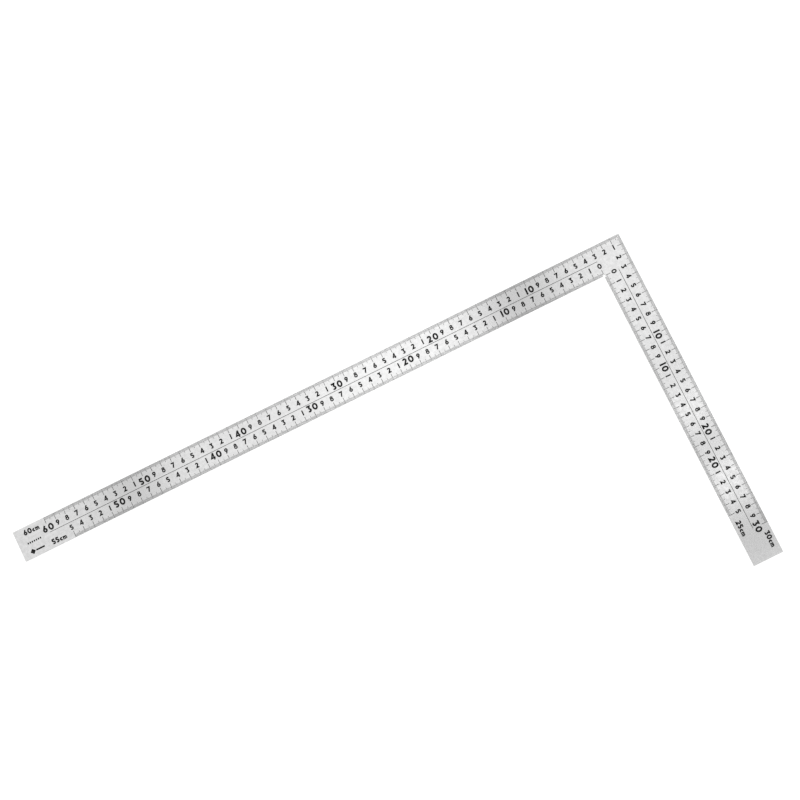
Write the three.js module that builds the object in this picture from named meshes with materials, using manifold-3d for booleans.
// Flat steel square ruler: two stainless arms joined at a right angle by a flush weld, with black enamel
// set into shallow etched recesses on both faces.
//
// Frame: millimetres, +Z up. The square lies flat with its back face on z = 0. The origin is the heel, the
// outer corner of the L, at the back face. The long arm runs along -X and the short arm along -Y.

import * as THREE from 'three';
import { mergeVertices } from 'three/addons/utils/BufferGeometryUtils.js';
import Module from 'manifold-3d';

// Driving dimensions.
const ARM_WIDTH = 30;
const THICKNESS = 2;
const LONG_LENGTH = 632;
const SHORT_LENGTH = 331;
const WELD_WIDTH = 2;

// A small round relief at the inner corner, so that the square seats against an edge that carries a burr.
const RELIEF_RADIUS = 1.4;
const RELIEF_SIDES = 32;

// Etched marks. The outer scales count from the heel, and the inner scales from the inner corner.
const DECADE = 100;
const CM_PER_DECADE = 10;
const ETCH_DEPTH = 0.1;
const ENAMEL_THICKNESS = 0.07;
const MARK_WIDTH = 0.45;
const MARK_LENGTH = 6.2;
const OUTER_LONG_DECADES = [1, 2, 3, 4, 5, 6];
const OUTER_SHORT_DECADES = [1, 2, 3];
const INNER_LONG_DECADES = [0, 1, 2, 3, 4, 5];
const INNER_SHORT_DECADES = [0, 1, 2];
const LONG_SCALE_END = 600;
const SHORT_SCALE_END = 300;

// The two zero marks of the inner scales point at the inner corner, and each starts just clear of its relief.
const ZERO_MARK_SETBACK = RELIEF_RADIUS + 0.4;

// A cutter stands this far proud of each face that it opens.
const CUTTER_OVERSHOOT = 1;

const STEEL = { color: 0xc9cbcc, roughness: 0.38, metalness: 1.0 };
const WELD_STEEL = { color: 0xbfc1c3, roughness: 0.42, metalness: 1.0 };
const ENAMEL = { color: 0x141416, roughness: 0.45, metalness: 0.0 };

const wasm = await Module();
wasm.setup();

// A range is [lowest, highest] along one axis, and a block is three ranges: x, y and z.

function blockGeometry(block) {
  const [x, y, z] = block;
  const geometry = new THREE.BoxGeometry(x[1] - x[0], y[1] - y[0], z[1] - z[0]);
  geometry.translate((x[0] + x[1]) / 2, (y[0] + y[1]) / 2, (z[0] + z[1]) / 2);
  return geometry;
}

function toSolid(geometry) {
  const bare = geometry.clone();
  bare.deleteAttribute('normal');
  bare.deleteAttribute('uv');
  const merged = mergeVertices(bare);
  return new wasm.Manifold(new wasm.Mesh({
    numProp: 3,
    vertProperties: new Float32Array(merged.attributes.position.array),
    triVerts: new Uint32Array(merged.index.array),
  }));
}

function toGeometry(solid) {
  const mesh = solid.getMesh();
  const geometry = new THREE.BufferGeometry();
  geometry.setAttribute('position', new THREE.BufferAttribute(mesh.vertProperties, 3));
  geometry.setIndex(new THREE.BufferAttribute(mesh.triVerts, 1));
  geometry.computeVertexNormals();
  return geometry;
}

function namedMesh(name, geometry, finish) {
  const mesh = new THREE.Mesh(geometry, new THREE.MeshStandardMaterial(finish));
  mesh.name = name;
  return mesh;
}

// The two faces, with the depth ranges of their enamel and of the recess cutters.
const FACES = [
  {
    name: 'front',
    enamel: [THICKNESS - ETCH_DEPTH, THICKNESS - ETCH_DEPTH + ENAMEL_THICKNESS],
    recess: [THICKNESS - ETCH_DEPTH, THICKNESS + CUTTER_OVERSHOOT],
  },
  {
    name: 'back',
    enamel: [ETCH_DEPTH - ENAMEL_THICKNESS, ETCH_DEPTH],
    recess: [-CUTTER_OVERSHOOT, ETCH_DEPTH],
  },
];

function around(centre, width) {
  return [centre - width / 2, centre + width / 2];
}

// Ten-centimetre marks. Each is a plan outline of two ranges, x and y, with the mark's name.

function markName(scale, decade) {
  return `${scale}_mark_${decade * CM_PER_DECADE}cm`;
}

function outerLongMark(decade) {
  const x = around(-decade * DECADE, MARK_WIDTH);
  return { name: markName('outer_long', decade), x, y: [-MARK_LENGTH, 0] };
}

function outerShortMark(decade) {
  const y = around(-decade * DECADE, MARK_WIDTH);
  return { name: markName('outer_short', decade), x: [-MARK_LENGTH, 0], y };
}

function innerMarkSpan(decade) {
  const start = decade === 0 ? ZERO_MARK_SETBACK : 0;
  return [-ARM_WIDTH + start, -ARM_WIDTH + MARK_LENGTH];
}

function innerLongMark(decade) {
  const x = around(-ARM_WIDTH - decade * DECADE, MARK_WIDTH);
  return { name: markName('inner_long', decade), x, y: innerMarkSpan(decade) };
}

function innerShortMark(decade) {
  const y = around(-ARM_WIDTH - decade * DECADE, MARK_WIDTH);
  return { name: markName('inner_short', decade), x: innerMarkSpan(decade), y };
}

// The centre lines run from the inner corner's level to the last outer mark of their arm.

function centreLines() {
  const middle = around(-ARM_WIDTH / 2, MARK_WIDTH);
  return [
    { name: 'long_centre_line', x: [-LONG_SCALE_END, -ARM_WIDTH], y: middle },
    { name: 'short_centre_line', x: middle, y: [-SHORT_SCALE_END, -ARM_WIDTH] },
  ];
}

function faceMarks() {
  return [
    ...centreLines(),
    ...OUTER_LONG_DECADES.map(outerLongMark),
    ...OUTER_SHORT_DECADES.map(outerShortMark),
    ...INNER_LONG_DECADES.map(innerLongMark),
    ...INNER_SHORT_DECADES.map(innerShortMark),
  ];
}

// A recess that reaches an edge is cut out through it, so the cutter's ends on the arm's edges stand proud.
function pastEdges(range) {
  const low = range[0] === -ARM_WIDTH ? range[0] - CUTTER_OVERSHOOT : range[0];
  const high = range[1] === 0 ? range[1] + CUTTER_OVERSHOOT : range[1];
  return [low, high];
}

function recessCutters(marks) {
  const cutters = [];
  for (const face of FACES) {
    for (const mark of marks) {
      const isCentreLine = mark.name.endsWith('centre_line');
      const x = isCentreLine ? mark.x : pastEdges(mark.x);
      const y = isCentreLine ? mark.y : pastEdges(mark.y);
      cutters.push(toSolid(blockGeometry([x, y, face.recess])));
    }
  }
  return cutters;
}

function reliefCutter() {
  const height = THICKNESS + 2 * CUTTER_OVERSHOOT;
  const geometry = new THREE.CylinderGeometry(RELIEF_RADIUS, RELIEF_RADIUS, height, RELIEF_SIDES);
  geometry.rotateX(Math.PI / 2);
  geometry.translate(-ARM_WIDTH, -ARM_WIDTH, THICKNESS / 2);
  return toSolid(geometry);
}

// A steel piece is a plain block with every recess cut that falls within it.
function steelPiece(name, block, cutters, finish) {
  let solid = toSolid(blockGeometry(block));
  for (const cutter of cutters) {
    solid = solid.subtract(cutter);
  }
  return namedMesh(name, toGeometry(solid), finish);
}

function enamelPieces(marks) {
  return FACES.flatMap((face) => marks.map((mark) => (
    namedMesh(`${face.name}_${mark.name}`, blockGeometry([mark.x, mark.y, face.enamel]), ENAMEL)
  )));
}

function buildSquare() {
  const square = new THREE.Group();
  const marks = faceMarks();
  const cutters = [...recessCutters(marks), reliefCutter()];
  const depth = [0, THICKNESS];
  const shortTop = -ARM_WIDTH - WELD_WIDTH;

  square.add(
    steelPiece('long_arm', [[-LONG_LENGTH, 0], [-ARM_WIDTH, 0], depth], cutters, STEEL),
    steelPiece('corner_weld', [[-ARM_WIDTH, 0], [shortTop, -ARM_WIDTH], depth], cutters, WELD_STEEL),
    steelPiece('short_arm', [[-ARM_WIDTH, 0], [-SHORT_LENGTH, shortTop], depth], cutters, STEEL),
    ...enamelPieces(marks),
  );
  return square;
}

export default buildSquare();
